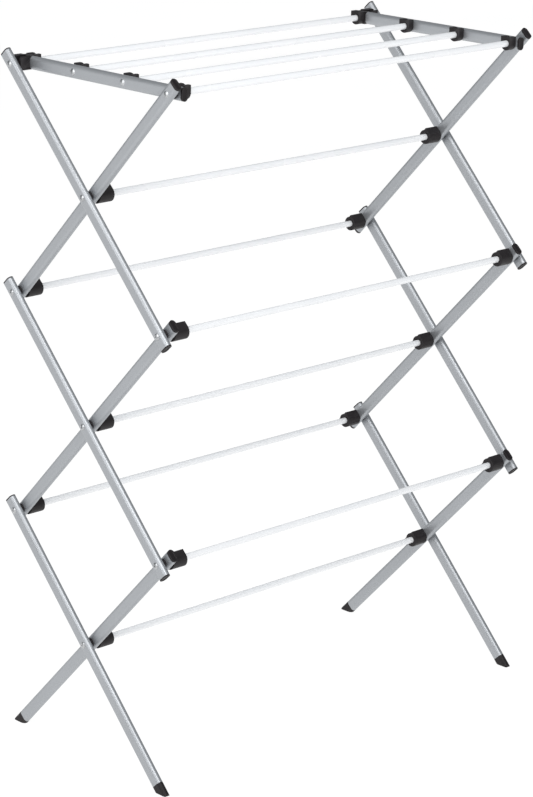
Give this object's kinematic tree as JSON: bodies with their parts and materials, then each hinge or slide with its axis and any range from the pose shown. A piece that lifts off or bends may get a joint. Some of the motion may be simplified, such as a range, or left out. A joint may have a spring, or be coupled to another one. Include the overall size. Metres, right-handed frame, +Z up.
{
  "type": "folding clothes drying rack",
  "caption": "Accordion clothes drying rack: scissor tiers of flat-oval tubes joined by round drying rods, under a top shelf of rods that holds the frame open.",
  "frame": {"origin": "on the floor under the middle of the open rack: centre of its footprint in X and Y, bottom of the feet in Z", "axes": "+X along the rods towards the right end seen from the front, +Y towards the back, where the shelf hooks on, +Z up"},
  "size_m": [0.7706, 0.3712, 1.0618],
  "materials": {
    "silver_coat": "silver-grey powder coat, satin",
    "white_rod": "white epoxy coat, glossy",
    "black_plastic": "black moulded plastic, satin",
    "rivet_steel": "bright zinc-plated steel"
  },
  "bodies": {
    "cross_rod": {"crossing_rod_bottom": "white_rod", "pivot_pins_bottom": "rivet_steel"},
    "outer_legs": {"outer_bar_bottom_left": "silver_coat", "outer_bar_bottom_right": "silver_coat", "foot_front_left": "black_plastic", "foot_front_right": "black_plastic", "end_plugs_outer_bottom": "black_plastic"},
    "inner_legs": {"inner_bar_bottom_left": "silver_coat", "inner_bar_bottom_right": "silver_coat", "foot_back_left": "black_plastic", "foot_back_right": "black_plastic", "end_plugs_inner_bottom": "black_plastic", "front_rod_lower": "white_rod", "crossing_sockets_bottom": "black_plastic", "front_sockets_lower": "black_plastic", "pivot_pins_inner_bottom": "rivet_steel", "washers_bottom": "black_plastic"},
    "outer_middle": {"outer_bar_middle_left": "silver_coat", "outer_bar_middle_right": "silver_coat", "end_plugs_outer_middle": "black_plastic"},
    "inner_middle": {"inner_bar_middle_left": "silver_coat", "inner_bar_middle_right": "silver_coat", "end_plugs_inner_middle": "black_plastic", "back_rod_lower": "white_rod", "crossing_rod_middle": "white_rod", "front_rod_upper": "white_rod", "back_sockets_lower": "black_plastic", "crossing_sockets_middle": "black_plastic", "front_sockets_upper": "black_plastic", "pivot_pins_middle": "rivet_steel", "washers_middle": "black_plastic"},
    "outer_top": {"outer_bar_top_left": "silver_coat", "outer_bar_top_right": "silver_coat", "end_plugs_outer_top": "black_plastic", "hook_pins": "rivet_steel"},
    "inner_top": {"inner_bar_top_left": "silver_coat", "inner_bar_top_right": "silver_coat", "end_plugs_inner_top": "black_plastic", "back_rod_upper": "white_rod", "crossing_rod_top": "white_rod", "back_sockets_upper": "black_plastic", "crossing_sockets_top": "black_plastic", "pivot_pins_top": "rivet_steel", "washers_top": "black_plastic", "shelf_pivot_pins": "rivet_steel"},
    "shelf": {"shelf_rail_left": "silver_coat", "shelf_rail_right": "silver_coat", "shelf_rail_plugs": "black_plastic", "shelf_rod_1": "white_rod", "shelf_rod_2": "white_rod", "shelf_rod_3": "white_rod", "shelf_rod_4": "white_rod", "rod_holders_1": "black_plastic", "rod_holders_2": "black_plastic", "rod_holders_3": "black_plastic", "rod_holders_4": "black_plastic", "shelf_hook_left": "black_plastic", "shelf_hook_right": "black_plastic", "shelf_pins": "rivet_steel"}
  },
  "joints": [
    {"name": "cross_rod_turn", "type": "hinge", "parent": "cross_rod", "child": "inner_legs", "pos_m": [0, 0, 0.184], "axis": [1, 0, 0], "range_deg": [-39, 0]},
    {"name": "fold", "type": "hinge", "parent": "inner_legs", "child": "outer_legs", "pos_m": [0, 0, 0.184], "axis": [1, 0, 0], "range_deg": [0, 78]},
    {"name": "outer_middle_turn", "type": "hinge", "parent": "inner_legs", "child": "outer_middle", "pos_m": [0, -0.1625, 0.355], "axis": [1, 0, 0], "range_deg": [0, 78]},
    {"name": "inner_middle_turn", "type": "hinge", "parent": "outer_legs", "child": "inner_middle", "pos_m": [0, 0.1625, 0.355], "axis": [1, 0, 0], "range_deg": [-78, 0]},
    {"name": "outer_top_turn", "type": "hinge", "parent": "inner_middle", "child": "outer_top", "pos_m": [0, -0.1625, 0.697], "axis": [1, 0, 0], "range_deg": [0, 78]},
    {"name": "inner_top_turn", "type": "hinge", "parent": "outer_middle", "child": "inner_top", "pos_m": [0, 0.1625, 0.697], "axis": [1, 0, 0], "range_deg": [-78, 0]},
    {"name": "shelf_turn", "type": "hinge", "parent": "inner_top", "child": "shelf", "pos_m": [0, -0.1625, 1.039], "axis": [1, 0, 0], "range_deg": [-39, 0]}
  ],
  "couplings": [
    {"joint": "cross_rod_turn", "follows": "fold", "ratio": -0.5},
    {"joint": "outer_middle_turn", "follows": "fold", "ratio": 1},
    {"joint": "inner_middle_turn", "follows": "fold", "ratio": -1},
    {"joint": "outer_top_turn", "follows": "fold", "ratio": 1},
    {"joint": "inner_top_turn", "follows": "fold", "ratio": -1},
    {"joint": "shelf_turn", "follows": "fold", "ratio": -0.5}
  ]
}
